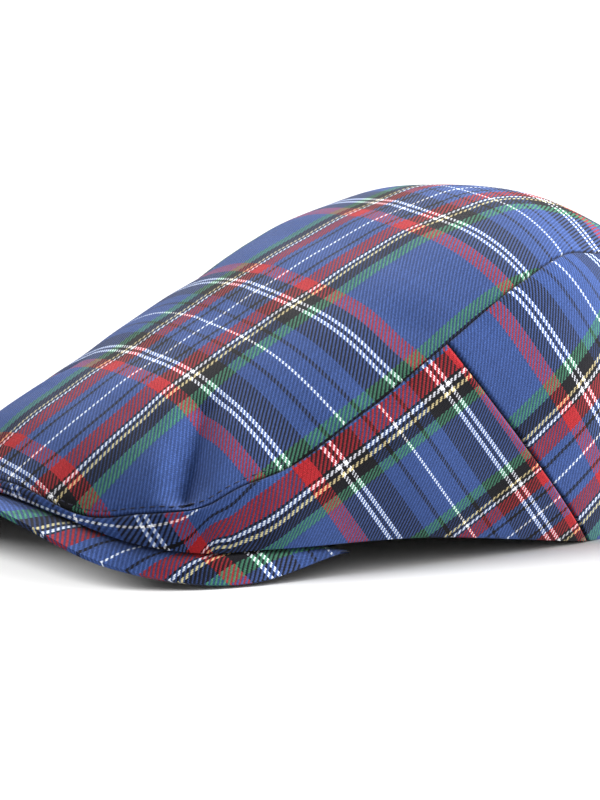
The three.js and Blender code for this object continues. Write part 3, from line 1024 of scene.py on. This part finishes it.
def half_gap_turn():
    return SEAM_GAP / 4 / rim_half_length()


def side_surface(along, across):
    start = half_gap_turn()
    end = side_seam_turn(across) - half_gap_turn()
    return wall_point(start + (end - start) * along, across)


def back_surface(along, across):
    start = side_seam_turn(across) + half_gap_turn()
    end = 1 - start
    return wall_point(start + (end - start) * along, across)


def make_side(name, node, mirror):
    points = grid_of(side_surface, "side", WALL_SEAMS)
    threads = side_threads(points)
    if mirror:
        points = points * MIRROR
        threads = threads * np.array([1.0, -1.0])
    return cloth_panel(name, node, points, WALL_SEAMS, WAVE_SEEDS["side"], threads)


def make_back():
    points = grid_of(back_surface, "back", WALL_SEAMS)
    seed = WAVE_SEEDS["back"]
    return cloth_panel("wrapped_back", "back_panel", points, WALL_SEAMS, seed, back_threads(points))


def wrap_threads(piece, points):
    """Carries the check straight on down the peak's slope and over its rounded edge."""
    outward = unit((points[:, -1] - points[:, 0]) * np.array([1.0, 1.0, 0]))
    level_run = np.sum((points - points[:, :1]) * outward[:, None], -1)
    slope_run = steps_from_edge(points, 1)
    slope_extra = (slope_run - level_run).ravel()
    sideways = np.array([PEAK_BIAS["share"], 0, 0]) * (slope_run.reshape(-1, 1) - PEAK_BIAS["start"])
    normals = outward_normals(points).reshape(-1, 3)
    places = points.reshape(-1, 3)
    tree = KDTree(len(places))
    for k, place in enumerate(places):
        tree.insert(place, k)
    tree.balance()
    mesh = piece.data
    laid = np.empty((len(mesh.vertices), 3))
    for vertex in mesh.vertices:
        place = np.array(vertex.co) / MM - SHIFT
        near = tree.find(place)[1]
        below = max(0.0, -float(np.dot(place - places[near], normals[near])))
        beyond = outward[near // points.shape[1]] * (below + slope_extra[near])
        laid[vertex.index] = place + beyond + sideways[near]
    corner = np.empty(len(mesh.loops), int)
    mesh.loops.foreach_get("vertex_index", corner)
    mesh.uv_layers["threads"].data.foreach_set("uv", peak_threads(laid)[corner].ravel())


def make_peak():
    points = grid_of(peak_surface, "peak")
    first, last, inner, outer = edge_distances(points)
    from_tip = np.clip(np.minimum(first, last) / PEAK_TAPER, 0, 1)
    thinned = (1 - PEAK_EDGE_SHARE) * np.exp(-((outer / PEAK_EDGE_SPAN) ** 2))
    rounded = from_tip * (2 - from_tip)
    fullness = (PEAK_TIP_SHARE + (1 - PEAK_TIP_SHARE) * rounded) * (1 - thinned)
    points = points - outward_normals(points) * (PEAK_THICKNESS * thinned)[..., None]
    # painted shadow under the lip and painted shade on the tips, both darkening the peak's colour
    under_lip = PEAK_LIP_SHADE * np.exp(-((inner / PEAK_LIP_SPAN) ** 2))
    shade = np.maximum(PEAK_TIP_SHADE * (1 - from_tip), under_lip)
    piece = lay_grid("peak_cover", points, peak_threads(points), shade, fullness)
    thicken(piece, PEAK_THICKNESS, PEAK_EDGE_ROUND, (peak_cloth, shade_dark_inner_cloth))
    wrap_threads(piece, points)
    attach(piece, "root")
    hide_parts("peak")
    return piece


def read_at(place, run, values):
    """Points or headings along a path, read at one distance along it."""
    return np.array([np.interp(place, run, values[:, axis]) for axis in range(3)])


def make_stitches(cloth):
    """Top-stitching along the front of the top panel, each stitch a short slim bead on the cloth."""
    last_turn = turn_of(STITCH_LAST_STATION)
    turns = np.linspace(-last_turn, last_turn, STITCH_PATH_STEPS)
    edge = seam_point(turns)
    slope_x, slope_y = top_slope(edge[:, 0], edge[:, 1])
    out = outward_at(turns)
    steep = np.sqrt(1 + (slope_x * out[:, 0] + slope_y * out[:, 1]) ** 2)
    path = edge - out * (STITCH_INSET / steep)[:, None]
    path[:, 2] = top_height(path[:, 0], path[:, 1])
    slope_x, slope_y = top_slope(path[:, 0], path[:, 1])
    normals = unit(np.stack([-slope_x, -slope_y, np.ones_like(slope_x)], -1))
    run = run_along(path)
    count = int(run[-1] // (STITCH_LENGTH + STITCH_GAP))
    deselect()
    bpy.ops.mesh.primitive_uv_sphere_add(segments=8, ring_count=6, radius=0.5)
    stitch = bpy.context.object
    thick = 2 * STITCH_RADIUS * MM
    stitch.data.transform(Matrix.Diagonal((thick, STITCH_LENGTH * MM, thick, 1)))
    copies = []
    for k in range(count):
        middle = (k + 0.5) * run[-1] / count
        at = read_at(middle, run, path)
        along = Vector(read_at(middle + STITCH_LOOK_AHEAD, run, path) - at).normalized()
        up = Vector(read_at(middle, run, normals)).normalized()
        side = along.cross(up).normalized()
        turn = Matrix((side, along, up)).transposed().to_4x4()
        copy = stitch.copy()
        copy.data = stitch.data.copy()
        bpy.context.collection.objects.link(copy)
        place = cloth.closest_point_on_mesh(Vector((at + SHIFT) * MM))[1]
        copy.data.transform(Matrix.Translation(place) @ turn)
        copies.append(copy)
    bpy.data.objects.remove(stitch)
    deselect()
    for copy in copies:
        copy.select_set(True)
    bpy.context.view_layer.objects.active = copies[0]
    bpy.ops.object.join()
    piece = bpy.context.object
    piece.name = "front_stitching"
    piece.data.name = "front_stitching"
    piece.data.materials.append(dark_thread)
    bpy.ops.object.shade_smooth()
    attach(piece, "root")
    return piece


top_panel = make_top()
cloth_pieces = [
    top_panel,
    make_side("side_panel_left", "side_left", mirror=False),
    make_side("side_panel_right", "side_right", mirror=True),
    make_back(),
    make_peak(),
    make_stitches(top_panel),
]

# Floor, light and camera

FLOOR_SIZE = 6
FLOOR_COLOUR = (0.96, 0.96, 0.96, 1)
FLOOR_FINISH = dict(roughness=0.9, sheen=0.0)
ROOM_STRENGTH = 0.65
CAP_MIDDLE = (0, 0, 0.05)
BACK_LIGHT = dict(place=(0.54, 1.35, 1.08), target=CAP_MIDDLE, shape="DISK", size=1.0, energy=103)
FAR_LIGHT = dict(place=(-1.1, -0.5, 0.9), target=CAP_MIDDLE, shape="DISK", size=1.0, energy=22)
FLOOR_LIGHT = dict(place=(-0.4, -1.3, 1), target=(0, 0, 0), kind="SUN", angle=math.radians(30), energy=4.0)


def make_floor():
    deselect()
    bpy.ops.mesh.primitive_plane_add(size=FLOOR_SIZE, location=(0, 0, 0))
    floor = bpy.context.object
    floor.name = "floor"
    material, _, shader = new_material("pale floor", **FLOOR_FINISH)
    shader.inputs["Base Color"].default_value = FLOOR_COLOUR
    floor.data.materials.append(material)
    return floor


def make_light(name, lit, place, target, kind="AREA", **settings):
    """A soft light that falls on the listed pieces only."""
    data = bpy.data.lights.new(name, kind)
    for key, value in settings.items():
        setattr(data, key, value)
    light = bpy.data.objects.new(name, data)
    light.location = place
    light.rotation_euler = (Vector(target) - Vector(place)).to_track_quat("-Z", "Y").to_euler()
    bpy.context.collection.objects.link(light)
    lit_pieces = bpy.data.collections.new(f"lit by the {name}")
    for piece in lit:
        lit_pieces.objects.link(piece)
    light.light_linking.receiver_collection = lit_pieces


def make_world():
    world = bpy.data.worlds.new("white room")
    bpy.context.scene.world = world
    world.use_nodes = True
    back = world.node_tree.nodes["Background"]
    back.inputs[0].default_value = (1, 1, 1, 1)
    back.inputs[1].default_value = ROOM_STRENGTH


# The photograph's view
VIEW_TURN = math.radians(55.5)
VIEW_RISE = math.radians(9.2)
VIEW_DISTANCE = 1600.0  # mm
VIEW_SCALE = 3.16  # pixels per mm at the target
VIEW_TARGET = np.array([0, 9.12, 0])
TARGET_PIXEL = (321.7, 522.7)
FRAME_PIXELS = (600, 800)


def make_camera():
    data = bpy.data.cameras.new("camera")
    data.sensor_width = 36
    data.lens = VIEW_SCALE * VIEW_DISTANCE * data.sensor_width / FRAME_PIXELS[1]
    data.clip_start = 0.05
    data.clip_end = 50
    camera = bpy.data.objects.new("camera", data)
    bpy.context.collection.objects.link(camera)
    back = np.array(
        [
            math.sin(VIEW_TURN) * math.cos(VIEW_RISE),
            -math.cos(VIEW_TURN) * math.cos(VIEW_RISE),
            math.sin(VIEW_RISE),
        ]
    )
    right = np.array([math.cos(VIEW_TURN), math.sin(VIEW_TURN), 0])
    up = np.cross(back, right)
    aside = (FRAME_PIXELS[0] / 2 - TARGET_PIXEL[0]) / VIEW_SCALE
    above = (TARGET_PIXEL[1] - FRAME_PIXELS[1] / 2) / VIEW_SCALE
    place = VIEW_TARGET + right * aside + up * above + back * VIEW_DISTANCE
    turn = Matrix((right, up, back)).transposed().to_4x4()
    camera.matrix_world = Matrix.Translation(Vector(place * MM)) @ turn
    bpy.context.scene.camera = camera


floor = make_floor()
make_world()
make_light("back light", cloth_pieces, **BACK_LIGHT)
make_light("far light", cloth_pieces, **FAR_LIGHT)
make_light("floor light", [floor], **FLOOR_LIGHT)
make_camera()
bpy.context.scene.view_settings.view_transform = "Standard"
